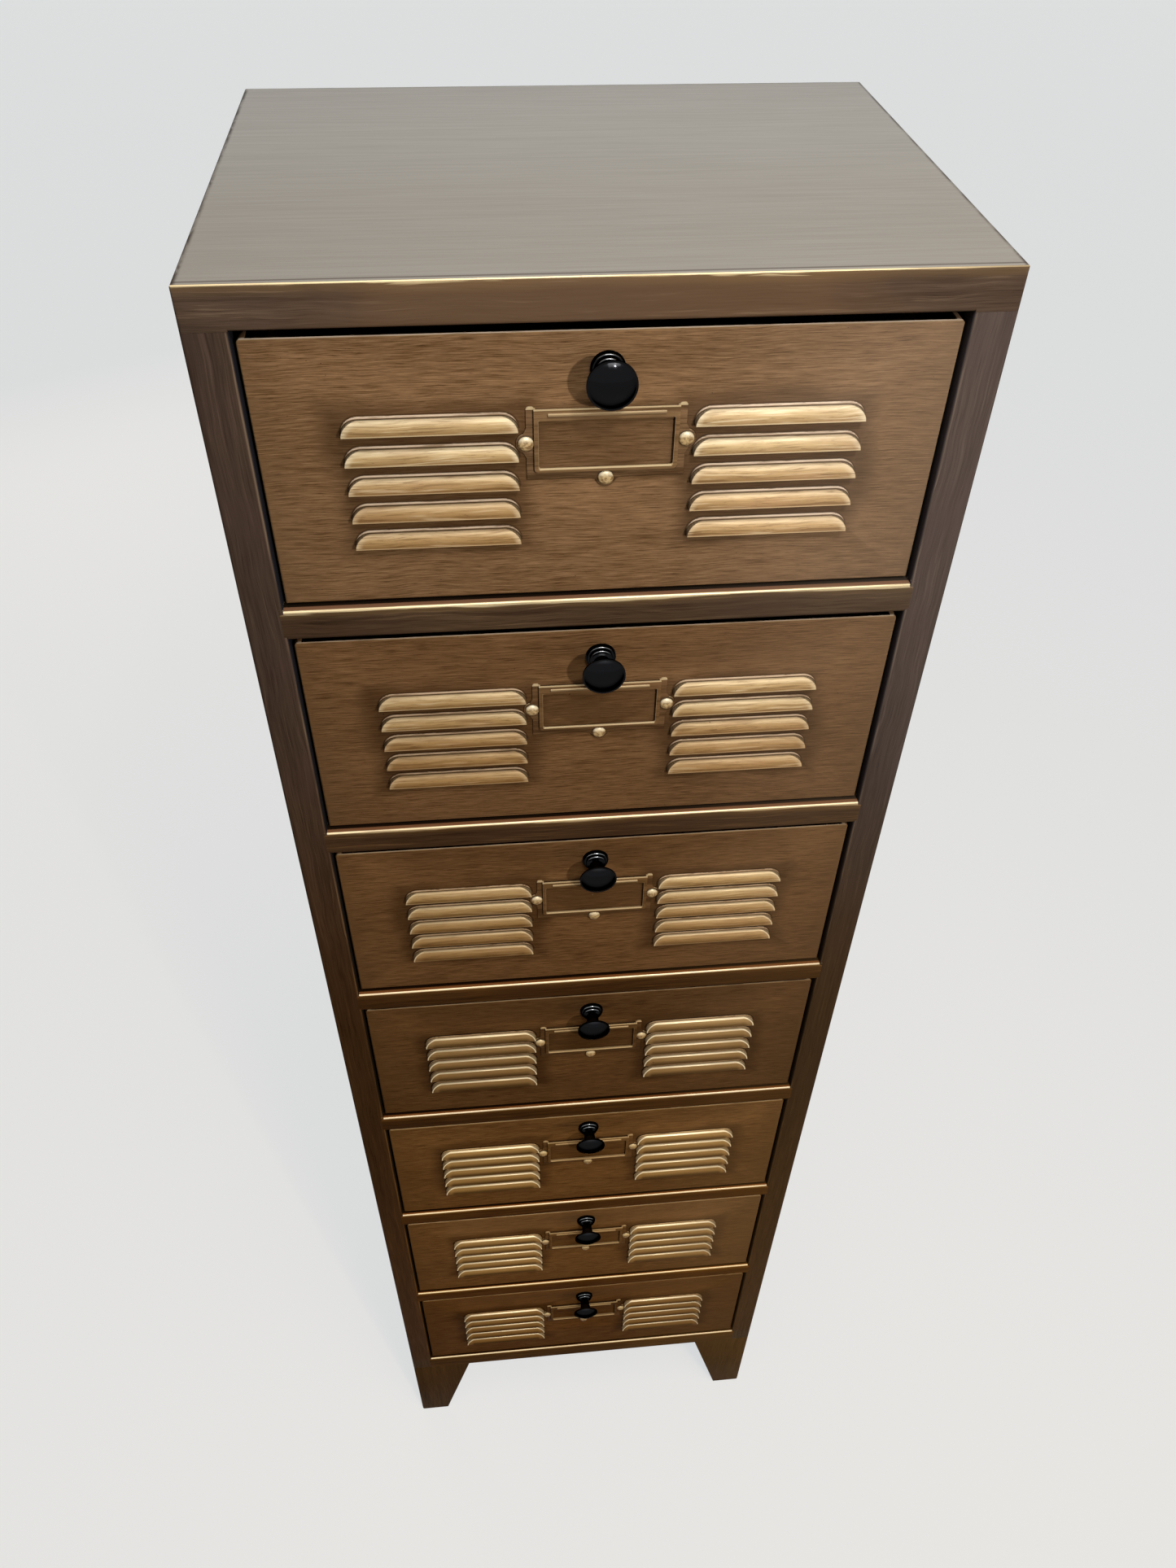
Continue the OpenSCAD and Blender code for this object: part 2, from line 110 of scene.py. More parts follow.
# The louvres
STREAK = (0.150, 0.078, 0.028)
BAND_DARK = (0.20, 0.115, 0.055)
BAND_WORN_AND_LIT = (0.72, 0.56, 0.40)
HOOD_GOLD = (0.46, 0.305, 0.150)       # hoods of the lower drawers
HOOD_DULL = (0.20, 0.120, 0.048)
HOOD_END = (0.090, 0.050, 0.022)
HOOD_LIP_SHADE = (0.085, 0.050, 0.020)
HOOD_CREST_HIGHLIGHT = (0.98, 0.83, 0.56)
LOW_ROWS_SHADE = (0.82, 0.74, 0.67)
RIGHT_LOUVRES_LIGHT = (1.36, 1.40, 1.46)

# The frame
RAIL_LINE = (0.20, 0.125, 0.065)
RAIL_GOLD = (0.82, 0.65, 0.38)         # rubbed folds of the rails: high up, and low down
RAIL_GOLD_LOW = (0.90, 0.79, 0.60)
LEDGE_ROSE = (0.22, 0.105, 0.055)
TOP_LINE = (0.25, 0.165, 0.100)
TOP_MIDDLE = (0.155, 0.088, 0.046)
TOP_GOLD = (0.80, 0.62, 0.35)
# painted reflection on the flat top, giving way to brown towards the front
TOP_REFLECTION = (0.470, 0.440, 0.392)
TOP_REFLECTION_LIGHT = (0.535, 0.505, 0.455)
TOP_FRONT_BROWN = (0.180, 0.135, 0.090)
TOP_EDGE = (0.070, 0.045, 0.034)
TOP_RIM = (0.050, 0.033, 0.025)
STILE_LINE = (0.125, 0.085, 0.060)
STILE_BEND = (0.24, 0.165, 0.105)
STILE_LIP_SHADE = (0.012, 0.013, 0.018)
STILE_CHIP = (0.50, 0.40, 0.28)
FRAME_CHIP = (0.66, 0.62, 0.56)
RIGHT_STILE_TINT = (0.97, 1.02, 1.17)
RIGHT_STILE_LOW_TINT = (0.85, 0.91, 1.02)
# painted warm bounce light low down and near the floor; greyer on the feet
LOW_DOWN_TINT = (0.96, 0.68, 0.33)
FLOORWARD_TINT = (1.72, 1.54, 0.98)
FEET_TINT = (0.97, 1.20, 1.90)
# dark, light and tint of each brown of the frame
STILE_BROWN = ((0.034, 0.021, 0.014), (0.080, 0.051, 0.036), (0.060, 0.036, 0.028))
RAIL_BROWN = ((0.030, 0.016, 0.009), (0.105, 0.062, 0.033), (0.060, 0.034, 0.021))
TOP_BROWN = ((0.052, 0.032, 0.021), (0.116, 0.075, 0.050), (0.075, 0.048, 0.036))

# The small parts
HOLDER_BROWN = (0.095, 0.050, 0.022)
HOLDER_BROWN_LIGHT = (0.225, 0.130, 0.064)
HOLDER_LOW_TINT = (0.98, 0.86, 0.68)
RIVET_BROWN = (0.24, 0.14, 0.058)
RIVET_TOP_HIGHLIGHT = (0.88, 0.74, 0.50)
RIVET_UNDER_SHADE = (0.085, 0.045, 0.018)
BLACK = (0.0110, 0.0110, 0.0117)
BLACK_DUSTY = (0.028, 0.027, 0.026)
BLACK_HEAD_GLINT = (0.045, 0.045, 0.047)     # painted highlight: raised gloss of the knobs' heads, and of their rings
BLACK_RING_GLINT = (0.22, 0.22, 0.22)
ZINC = (0.46, 0.47, 0.48)
ZINC_LIGHT = (0.64, 0.65, 0.66)
ZINC_DULL = (0.38, 0.37, 0.35)

# Tones of the whole
WARM_BOUNCE = (0.86, 0.74, 0.54)              # painted warm bounce light: the brown is deeper towards the floor
RIGHT_SHEEN = (0.33, 0.255, 0.190)            # thin painted sheen towards the right
# painted light and shade: each drawer has its own tone, as the light falls on it; the lowest first
DRAWER_LIGHT_TONES = ((0.83, 0.72, 0.55), (1.08, 1.0, 0.82), (0.96, 0.86, 0.64), (0.64, 0.56, 0.44),
         (0.77, 0.69, 0.58), (0.75, 0.69, 0.62), (0.93, 0.92, 0.92))


class Paint:
    """One node material. Its methods give back sockets; place, x, y and z are in metres."""

    def __init__(self, name, specular=0.5):
        self.mat = bpy.data.materials.new(name)
        self.mat.use_nodes = True
        self.tree = self.mat.node_tree
        self.tree.nodes.clear()
        out = self.new("ShaderNodeOutputMaterial")
        self.bsdf = self.new("ShaderNodeBsdfPrincipled")
        self.tree.links.new(self.bsdf.outputs[0], out.inputs[0])
        self.bsdf.inputs["Specular IOR Level"].default_value = specular
        self.place = self.new("ShaderNodeTexCoord").outputs["Object"]
        self.x, self.y, self.z = self.split(self.place)
        normal = self.new("ShaderNodeNewGeometry").outputs["Normal"]
        self.nx, self.ny, self.nz = self.split(normal)

    def new(self, kind):
        return self.tree.nodes.new(kind)

    def put(self, socket, value):
        """Links a socket, or sets it to a number or a colour."""
        if isinstance(value, bpy.types.NodeSocket):
            self.tree.links.new(value, socket)
        elif hasattr(value, "__len__") and len(value) == 3 and len(socket.default_value) == 4:
            socket.default_value = (*value, 1.0)
        else:
            socket.default_value = value

    def split(self, vector):
        n = self.new("ShaderNodeSeparateXYZ")
        self.put(n.inputs[0], vector)
        return n.outputs[0], n.outputs[1], n.outputs[2]

    def math(self, op, a, b=0.0, c=0.0):
        n = self.new("ShaderNodeMath")
        n.operation = op
        for socket, value in zip(n.inputs, (a, b, c)):
            self.put(socket, value)
        return n.outputs[0]

    def chain(self, op, values):
        total = values[0]
        for value in values[1:]:
            total = self.math(op, total, value)
        return total

    def add(self, *values):
        return self.chain("ADD", values)

    def mul(self, *values):
        return self.chain("MULTIPLY", values)

    def low(self, *values):
        return self.chain("MINIMUM", values)

    def high(self, *values):
        return self.chain("MAXIMUM", values)

    def sub(self, a, b):
        return self.math("SUBTRACT", a, b)

    def inv(self, a):
        return self.math("SUBTRACT", 1.0, a)

    def mag(self, a):
        return self.math("ABSOLUTE", a)

    def wrap(self, v, period):
        return self.math("WRAP", v, period, 0.0)

    def length(self, a, b):
        return self.math("SQRT", self.add(self.mul(a, a), self.mul(b, b)))

    def ramp(self, v, a, b, to_a=0.0, to_b=1.0):
        """Smooth step of v, from to_a at a to to_b at b."""
        n = self.new("ShaderNodeMapRange")
        n.interpolation_type = "SMOOTHSTEP"
        for socket, value in zip(n.inputs, (v, a, b, to_a, to_b)):
            self.put(socket, value)
        return n.outputs[0]

    def near(self, v, at, width, full=0.0):
        """1 where v is within full of at, falling to 0 at the width."""
        return self.ramp(self.mag(self.sub(v, at)), full, width, 1.0, 0.0)

    def noise(self, size, detail=3.0, rough=0.55, shift=0.0, vector=None):
        """Noise with features of about size metres along X, Y and Z."""
        m = self.new("ShaderNodeVectorMath")
        m.operation = "MULTIPLY_ADD"
        self.put(m.inputs[0], vector or self.place)
        m.inputs[1].default_value = [1.0 / s for s in size]
        m.inputs[2].default_value = (shift, shift * 0.7, shift * 1.3)
        n = self.new("ShaderNodeTexNoise")
        self.put(n.inputs["Vector"], m.outputs[0])
        for key, value in (("Scale", 1.0), ("Detail", detail), ("Roughness", rough),
                           ("Distortion", 0.0)):
            n.inputs[key].default_value = value
        return n.outputs["Fac"]

    def blend(self, kind, f, a, b):
        n = self.new("ShaderNodeMix")
        n.data_type = "RGBA"
        n.blend_type = kind
        # sockets 6 and 7 are its two colours
        self.put(n.inputs[0], f)
        self.put(n.inputs[6], a)
        self.put(n.inputs[7], b)
        return n.outputs[2]

    def mix(self, f, a, b):
        return self.blend("MIX", f, a, b)

    def tinted(self, f, colour, tint):
        return self.blend("MULTIPLY", f, colour, tint)

    def waved(self, amount, size, along):
        """The place, with one axis shifted by a broad noise, so that streaks wander."""
        wave = self.noise((size, size, size), detail=2.0, shift=5.0)
        shift = self.mul(self.sub(wave, 0.5), amount)
        n = self.new("ShaderNodeCombineXYZ")
        for i, value in enumerate((self.x, self.y, self.z)):
            self.put(n.inputs[i], self.add(value, shift) if i == along else value)
        return n.outputs[0]

    def brush(self, across, long=0.015, thin=0.00055):
        """Keeps fine, mid and broad brush streaks; across is the axis that they are thin on."""
        wander = self.waved(amount=0.0055, size=0.060, along=across)

        def streak(wider, longer, detail, rough, shift):
            size = [long * longer] * 3
            size[across] = thin * wider
            return self.noise(size, detail, rough, shift, wander)

        self.fine = streak(wider=1.0, longer=1.0, detail=3.0, rough=0.65, shift=0.0)
        self.mid = streak(wider=2.2, longer=2.2, detail=2.0, rough=0.55, shift=23.0)
        self.broad = streak(wider=9.0, longer=5.0, detail=2.0, rough=0.5, shift=11.0)

    def bump(self, *layers):
        """Each layer is (height, strength, distance)."""
        normal = None
        for height, strength, distance in layers:
            n = self.new("ShaderNodeBump")
            n.inputs["Strength"].default_value = strength
            n.inputs["Distance"].default_value = distance
            self.put(n.inputs["Height"], height)
            if normal:
                self.put(n.inputs["Normal"], normal)
            normal = n.outputs[0]
        self.put(self.bsdf.inputs["Normal"], normal)

    def done(self, colour, rough, metallic=0.0):
        """Gives back the finished material."""
        self.put(self.bsdf.inputs["Base Color"], colour)
        self.put(self.bsdf.inputs["Roughness"], rough)
        self.put(self.bsdf.inputs["Metallic"], metallic)
        return self.mat


def proud_of_front(p, above):
    """How far in front of its drawer front the surface is; above is its height over the deck."""
    step = p.math("FLOOR", p.math("DIVIDE", above, PITCH))
    return p.sub(p.add(p.mul(step, FACE_STEP), FACE_Y), p.y)


def on_fronts(p):
    """Height above the rail below, and how far in front of its drawer front the surface is."""
    above = p.sub(p.z, DECK_Z)
    return p.wrap(above, PITCH), proud_of_front(p, above)


def drawer_light_toned(p, colour):
    """Painted light: the paint in the tone that the light gives its drawer, with painted warm
    bounce deeper towards the floor.
    """
    level = p.math("DIVIDE", p.sub(p.z, DECK_Z), PITCH * COUNT)
    n = p.new("ShaderNodeValToRGB")
    n.color_ramp.interpolation = "CONSTANT"
    for i, tone in enumerate(DRAWER_LIGHT_TONES):
        if i > 1:
            n.color_ramp.elements.new(i / COUNT)
        n.color_ramp.elements[i].position = i / COUNT
        n.color_ramp.elements[i].color = (*tone, 1.0)
    p.put(n.inputs[0], level)
    colour = p.tinted(1.0, colour, n.outputs[0])
    return p.tinted(p.ramp(p.z, UPPER, FLOORWARD), colour, WARM_BOUNCE)


# Paint of the drawer fronts

def front_places(p):
    """Where the surface is on its drawer front: each value is a socket."""
    at = SimpleNamespace()
    at.aside = p.mag(p.x)
    at.up, at.proud = on_fronts(p)
    at.rise = p.ramp(at.proud, 0.0002, 0.0006)       # 1 on the raised louvres
    at.deep = p.ramp(p.z, UPPER_LOUVRES, LOWER_LOUVRES)
    # distances out of a group of louvres, and out of the plate of the label holder
    from_group = p.mag(p.sub(at.aside, GROUP_X))
    at.group_x = p.sub(from_group, GROUP_HALF_X)
    at.group_z = p.sub(p.mag(p.sub(at.up, GROUP_Z)), GROUP_HALF_Z)
    from_plate = p.mag(p.sub(at.up, PLATE_LOW + PLATE_H / 2))
    at.plate = p.high(p.sub(at.aside, PLATE_HALF), p.sub(from_plate, PLATE_H / 2))
    # height above the lip of a louvre, and distance out along its rounded ends
    at.lip = p.wrap(p.sub(at.up, LOUVRE_Z), LOUVRE_PITCH)
    at.end = p.high(p.sub(from_group, GROUP_HALF_X - LOUVRE_H), 0.0)
    at.radius = p.length(at.end, at.lip)
    # the same, scaled so that it is 1 on the rim of the hood
    at.hood = p.length(p.mul(at.end, 1.0 / (LOUVRE_H - BAND_SIDE)),
                       p.mul(at.lip, 1.0 / (LOUVRE_H - BAND)))
    at.inside = p.ramp(at.hood, 1.03, 0.97)
    at.crest = p.ramp(at.hood, 0.85, 0.94)
    return at


def brushed_brown(p):
    """The brown ground with light and dark brush marks, and the mask of the dark ones."""
    hair = p.noise((0.006, 0.006, 0.00035), detail=2.0, rough=0.6, shift=31.0)
    tone = p.add(p.add(p.mul(p.fine, 0.57), p.mul(p.mid, 0.21)),
                 p.add(p.mul(p.broad, 0.10), p.mul(p.cloud, 0.12)))
    colour = p.mix(p.ramp(tone, 0.36, 0.64), BROWN, BROWN_LIGHT)
    colour = p.mix(p.mul(p.ramp(p.fine, 0.57, 0.70), 0.25), colour, BRUSHED)
    dark = p.high(p.ramp(p.fine, 0.41, 0.31), p.mul(p.ramp(hair, 0.38, 0.30), 0.8))
    return p.mix(p.mul(dark, 0.62), colour, MARK), dark


def front_shade_and_light(p, at, colour):
    """Painted shade round the louvres and round the label holder, and darker towards the front's
    edges.
    """
    group = p.add(p.high(at.group_x, at.group_z), p.mul(p.sub(p.cloud, 0.5), 0.03))
    colour = p.mix(p.mul(p.ramp(group, 0.013, -0.001), 0.65), colour, LOUVRE_SHADE)
    colour = p.mix(p.mul(p.ramp(at.plate, 0.005, 0.0), 0.40), colour, THIN_SHADE)
    side = p.high(p.ramp(at.aside, FRONT_HALF - 0.025, FRONT_HALF),
                  p.ramp(at.up, FRONT_LOW + 0.012, FRONT_LOW, 0.0, 0.7))
    side = p.mul(side, p.ramp(p.broad, 0.3, 0.7, 0.05, 0.40))
    colour = p.mix(side, colour, EDGE_BROWN)
    # painted light and shade: above their louvres the lower fronts are lighter, and fronts 2 to 4
    # are darker
    high_up = p.mul(p.ramp(p.sub(at.up, GROUP_TOP), 0.004, 0.014),
                    p.ramp(at.aside, 0.150, 0.115))
    low_fronts = p.ramp(p.z, 0.60, 0.54, 0.0, 0.35)
    fronts_2_to_4 = p.mul(p.ramp(p.z, 1.14, 1.10), p.ramp(p.z, 0.60, 0.66))
    colour = p.mix(p.mul(high_up, low_fronts), colour, BROWN_PALE)
    return p.mix(p.mul(high_up, fronts_2_to_4, 0.30), colour, THIN_SHADE)


def plate_shadow_line(p, at, colour):
    """Painted shadow line round the plate of the label holder and its rivet tabs."""
    def from_tab(x, z):
        return p.sub(p.length(p.sub(at.aside, x), p.sub(at.up, z)), TAB_R)

    side_tab = from_tab(PLATE_HALF + TAB_OUT, PLATE_LOW + TAB_UP)
    low_tab = from_tab(0.0, PLATE_LOW - TAB_OUT)
    outline = p.low(at.plate, p.low(side_tab, low_tab))
    return p.mix(p.mul(p.near(outline, 0.0002, 0.0009), 0.80), colour, SHADE_AND_SPECKS)


def upper_gold(p, at, dark, worn):
    """Brushed gold of the upper louvres, streaked with brown, with painted shade low on the face
    and a painted highlight towards the crest.
    """
    # painted shade low on the face, and a painted highlight towards the crest
    face = p.mix(p.ramp(at.lip, 0.0002, 0.0046), GOLD_LOW, GOLD)
    face = p.mix(p.mul(p.ramp(at.hood, 0.55, 0.95), 0.9), face, CREAM)
    rose = p.noise((0.05, 0.05, 0.011), detail=2.0, rough=0.5, shift=57.0)
    face = p.mix(p.ramp(rose, 0.54, 0.68, 0.0, 0.35), face, ROSE)
    face = p.mix(p.mul(p.inv(worn), 0.35), face, GOLD_LOW)
    streak = p.high(dark, p.mul(p.ramp(p.mid, 0.45, 0.33), 0.7))
    streak = p.mul(streak, p.ramp(at.lip, 0.0065, 0.0015, 0.40, 0.85))
    face = p.mix(streak, face, STREAK)
    face = p.mix(p.mul(p.ramp(p.mid, 0.56, 0.68), 0.5), face, CREAM)
    face = p.mix(p.mul(p.ramp(at.lip, 0.0008, 0.0003), 0.75), face, GOLD_PALE)
    # painted shade: the lower rows are darker
    low_rows = p.ramp(at.up, LOUVRE_Z + 1.6 * LOUVRE_PITCH, LOUVRE_Z + 3.6 * LOUVRE_PITCH,
                      1.0, 0.0)
    return p.tinted(low_rows, face, LOW_ROWS_SHADE)


def lower_gold(p, at, worn):
    """Smoother, deeper gold of the lower louvres, with painted shade towards the lip and a painted
    highlight on the crest.
    """
    # painted shade towards the lip
    face = p.mix(p.ramp(at.hood, 0.10, 0.80), HOOD_LIP_SHADE, HOOD_GOLD)
    face = p.mix(p.mul(p.inv(worn), 0.25), face, HOOD_DULL)
    face = p.mix(p.ramp(at.end, 0.0030, 0.0075, 0.0, 0.65), face, HOOD_END)
    # painted highlight on the crest
    return p.mix(at.crest, face, HOOD_CREST_HIGHLIGHT)


def louvres_gilt(p, at, colour, dark):
    """Gold hoods on pale plinths, with painted shade in the creases round them and under their
    lips.
    """
    worn = p.ramp(p.add(p.fine, p.mul(p.broad, 0.6)), 0.62, 0.95)
    face = p.mix(p.mul(at.deep, 0.92), upper_gold(p, at, dark, worn), lower_gold(p, at, worn))
    # the pale outer rim of each plinth is worn, and painted as a highlight
    band_worn_and_lit = p.mul(p.ramp(at.hood, 1.05, 1.14), p.ramp(worn, 0.0, 0.6, 0.3, 1.0))
    band = p.mix(band_worn_and_lit, BAND_DARK, BAND_WORN_AND_LIT)
    hood = p.mix(at.inside, band, face)
    # painted shade in the crease round each hood
    crease_shade = p.mul(p.near(at.hood, 1.02, 0.060), p.ramp(at.deep, 0.0, 1.0, 0.94, 0.30))
    colour = p.mix(at.rise, colour, p.mix(crease_shade, hood, SHADE_AND_SPECKS))
    # painted shade: dark line where the plinth meets the sheet, and a painted shadow under each
    # lip
    sheet = p.inv(at.rise)
    foot = p.mul(p.near(at.radius, LOUVRE_H + 0.0003, 0.0007), sheet,
                 p.ramp(at.deep, 0.0, 1.0, 0.5, 1.2))
    under = p.mul(p.ramp(at.lip, LOUVRE_PITCH - 0.0026, LOUVRE_PITCH - 0.0003), sheet,
                  p.ramp(at.group_x, 0.0004, -0.0012))
    within = p.mul(p.ramp(at.group_x, 0.002, 0.0), p.ramp(at.group_z, 0.0032, 0.001))
    colour = p.mix(p.mul(p.high(foot, under), within, 0.92), colour, SHADE_AND_SPECKS)
    # painted light: the right-hand louvres are brighter, apart from those of the lowest drawers
    right = p.mul(p.ramp(p.x, 0.02, 0.09), p.ramp(p.z, 0.45, MIDDLE))
    return p.tinted(p.mul(at.rise, right), colour, RIGHT_LOUVRES_LIGHT)


def worn_rims(p, at, colour):
    """Thin worn rim round the pan; along its top a painted highlight makes it brightest."""
    edge = p.low(p.sub(FRONT_HALF, at.aside), p.sub(at.up, FRONT_LOW), p.sub(FRONT_HIGH, at.up))
    rim = p.mul(p.ramp(edge, 0.0012, 0.0006), p.ramp(at.proud, -0.0018, -0.0008))
    colour = p.mix(p.mul(rim, p.ramp(p.mid, 0.35, 0.55, 0.10, 0.65)), colour, GOLD_LOW)
    # painted highlight along the top edge, over the wear
    top_rim = p.mul(p.ramp(p.sub(FRONT_HIGH, at.up), 0.0007, 0.0003),
                    p.ramp(at.proud, -0.0022, -0.0012))
    top_rim = p.mul(top_rim, p.ramp(p.mid, 0.35, 0.55, 0.45, 0.95))
    return p.mix(top_rim, colour, RIM_WORN_AND_LIT)


def specked(p, colour):
    """Dark specks and small pale chips."""
    speck = p.noise((0.0017, 0.0017, 0.0013), detail=1.0, rough=0.5, shift=40.0)
    colour = p.mix(p.mul(p.ramp(speck, 0.79, 0.85), 0.85), colour, SHADE_AND_SPECKS)
    chip = p.noise((0.0032, 0.0032, 0.0024), detail=1.0, rough=0.5, shift=71.0)
    return p.mix(p.mul(p.ramp(chip, 0.86, 0.89), 0.7), colour, FRONT_CHIP)


def sheen_to_right(p, colour):
    """Painted sheen towards the right, thinner on the middle drawers."""
    thick = p.high(p.ramp(p.z, 0.95, UPPER, 0.72, 1.0), p.ramp(p.z, 0.60, 0.45, 0.72, 1.25))
    return p.mix(p.mul(p.ramp(p.x, 0.0, RIGHT_SIDE, 0.0, 0.22), thick), colour, RIGHT_SHEEN)


def front_paint(name, outside):
    """Bronze-brown paint with a fine sideways grain; the outside has gold louvres and rims."""
    p = Paint(name, specular=0.003)
    p.brush(SIDEWAYS)
    p.cloud = p.noise((0.08, 0.08, 0.045), detail=3.0, rough=0.5, shift=3.0)
    colour, dark = brushed_brown(p)
    rough = p.ramp(p.fine, 0.3, 0.7, 0.52, 0.40)
    if outside:
        at = front_places(p)
        colour = front_shade_and_light(p, at, colour)
        colour = plate_shadow_line(p, at, colour)
        colour = louvres_gilt(p, at, colour, dark)
        colour = worn_rims(p, at, colour)
        rough = p.sub(rough, p.mul(at.rise, 0.06))
    colour = sheen_to_right(p, specked(p, colour))
    toned = drawer_light_toned(p, colour)
    p.bump((p.cloud, 0.10, 0.004), (p.fine, 0.35, 0.0002))
    if not outside:
        return p.done(toned, rough)
    # painted highlight: the crests of the lower louvres are half metallic, in the same tone on
    # every drawer
    crest_highlight = p.mul(at.rise, at.deep, at.crest, at.inside)
    toned = p.mix(p.mul(crest_highlight, 0.7), toned, colour)
    return p.done(toned, rough, p.add(p.mul(at.rise, 0.12), p.mul(crest_highlight, 0.38)))


# Paint of the frame

def chips(p, where):
    """Ragged little chips in the paint, only inside the mask."""
    grit = p.noise((0.0022, 0.0022, 0.0022), detail=2.0, rough=0.6, shift=93.0)
    return p.mul(where, p.ramp(grit, 0.60, 0.66))


def pale_lines(p):
    """Thin pale brush lines."""
    return p.mul(p.ramp(p.mid, 0.58, 0.72), p.ramp(p.fine, 0.42, 0.58))


def fold(p):
    """1 on the rounded fold between an upright face and the ledge above it."""
    return p.mul(p.ramp(p.ny, -0.25, -0.55), p.ramp(p.nz, 0.35, 0.65))


def ragged(p, below):
    """The distance below an edge, made uneven so that rubbed lines look ragged."""
    return p.add(below, p.mul(p.sub(p.add(p.mid, p.cloud), 1.0), 0.004))


def rail_edge(p, colour):
    """Rails rubbed bright where they fold back, and ragged just below the fold."""
    colour = p.mix(p.mul(pale_lines(p), 0.35), colour, RAIL_LINE)
    below = ragged(p, p.wrap(p.sub(DECK_Z, p.z), PITCH))
    face = p.ramp(p.ny, -0.5, -0.9)
    folded = fold(p)
    just_below = p.mul(p.ramp(below, 0.0020, 0.0011), face,
                       p.ramp(p.z, MIDDLE, UPPER, 0.15, 0.6))
    glow = p.mul(p.ramp(below, 0.0060, 0.0014), face, 0.18)
    colour = p.mix(glow, colour, GOLD_LOW)
    gilt = p.mix(p.ramp(p.z, 0.70, UPPER), RAIL_GOLD_LOW, RAIL_GOLD)
    rub = p.mul(p.high(folded, just_below), p.ramp(p.mid, 0.3, 0.5, 0.65, 1.0))
    colour = p.mix(rub, colour, gilt)
    # the ledge that a drawer front stands over is worn rosy, and behind the front it is painted
    # black as shadow
    ledge = p.ramp(p.nz, 0.85, 0.98)
    proud = proud_of_front(p, p.add(p.sub(p.z, DECK_Z), 0.001))
    colour = p.mix(p.mul(ledge, 0.8), colour, LEDGE_ROSE)
    colour = p.mix(p.mul(ledge, p.ramp(proud, 0.0008, 0.0001)), colour, SHADE_AND_SPECKS)
    return colour, p.mul(folded, p.ramp(p.z, 0.70, UPPER, 0.66, 0.50))


def top_edge(p, colour):
    """Top rail, lighter in its middle, with a worn fold along its upper edge."""
    middle = p.ramp(p.add(p.mag(p.x), p.mul(p.sub(p.cloud, 0.5), 0.08)), 0.155, 0.085)
    colour = p.mix(p.mul(middle, 0.55), colour, TOP_MIDDLE)
    colour = p.mix(p.mul(pale_lines(p), 0.35), colour, TOP_LINE)
    front = p.mul(p.ramp(p.y, FRONT_Y + 0.004, FRONT_Y + 0.002), p.ramp(p.nz, 0.95, 0.80))
    below = ragged(p, p.sub(TOP_Z, p.z))
    folded = fold(p)
    just_below = p.mul(p.ramp(below, 0.0014, 0.0007), p.ramp(p.ny, -0.5, -0.9), 0.6)
    fade = p.mul(p.ramp(p.mid, 0.30, 0.50, 0.6, 1.0), p.ramp(p.x, 0.13, 0.19, 1.0, 0.35))
    glow = p.mul(p.ramp(below, 0.0070, 0.0016), front, 0.20)
    colour = p.mix(glow, colour, GOLD_LOW)
    rub = p.mul(p.high(folded, just_below), front, fade)
    colour = p.mix(rub, colour, TOP_GOLD)
    return top_reflection(p, colour), p.mul(folded, 0.4)


def top_reflection(p, colour):
    """The flat top's grey, brushed painted reflection, fading towards the front, with a dark line
    inside its front edge and rim.
    """
    grain = p.noise((0.070, 0.0013, 0.05), detail=4.0, rough=0.6, shift=17.0)
    reflection = p.mix(p.ramp(grain, 0.30, 0.70), TOP_REFLECTION, TOP_REFLECTION_LIGHT)
    reflection = p.mix(p.ramp(p.y, FRONT_Y, TOP_BACK, 0.43, 0.0), reflection, TOP_FRONT_BROWN)
    line = p.near(p.y, FRONT_Y + 0.0030, 0.0014)
    reflection = p.mix(p.mul(line, 0.65), reflection, TOP_EDGE)
    rim = p.low(p.sub(TOP_HALF, p.mag(p.x)), p.sub(TOP_BACK, p.y))
    rim = p.mul(p.ramp(rim, 0.0035, 0.0012), p.ramp(p.fine, 0.4, 0.6, 0.35, 0.9))
    reflection = p.mix(rim, reflection, TOP_RIM)
    return p.mix(p.ramp(p.nz, 0.8, 0.97), colour, reflection)


def stile_edge(p, colour):
    """Stiles with a faintly rubbed bend, a lip beside the drawers painted dark as shade, and a few
    chips.
    """
    colour = p.mix(p.mul(pale_lines(p), 0.25), colour, STILE_LINE)
    aside = p.mag(p.x)
    turned = p.mag(p.nx)
    bend = p.mul(p.ramp(aside, STILE_IN + 0.0026, STILE_IN + 0.0012),
                 p.mul(p.ramp(p.ny, -0.10, -0.4), p.ramp(turned, 0.15, 0.5)))
    bend = p.mul(bend, p.ramp(p.mid, 0.40, 0.62, 0.08, 0.45))
    colour = p.mix(bend, colour, STILE_BEND)
    # painted shade on the lip in the gap beside the drawers
    lip = p.mul(p.ramp(aside, STILE_IN + 0.0012, STILE_IN + 0.0006), p.ramp(turned, 0.6, 0.9))
    colour = p.mix(p.mul(lip, 0.9), colour, STILE_LIP_SHADE)
    by_rail = p.near(p.wrap(p.sub(p.z, DECK_Z), PITCH), 0.0, 0.003)
    corner = p.mul(p.ramp(aside, STILE_IN + 0.003, STILE_IN), by_rail)
    colour = p.mix(p.mul(chips(p, corner), 0.8), colour, STILE_CHIP)
    return colour, 0.0


def right_stile_tint(p, colour):
    """The right stile is cooler than the left, and darker below drawer 1."""
    to_right = p.ramp(p.x, 0.05, 0.17)
    colour = p.tinted(to_right, colour, RIGHT_STILE_TINT)
    return p.tinted(p.mul(to_right, p.ramp(p.z, UPPER, 1.00)), colour, RIGHT_STILE_LOW_TINT)


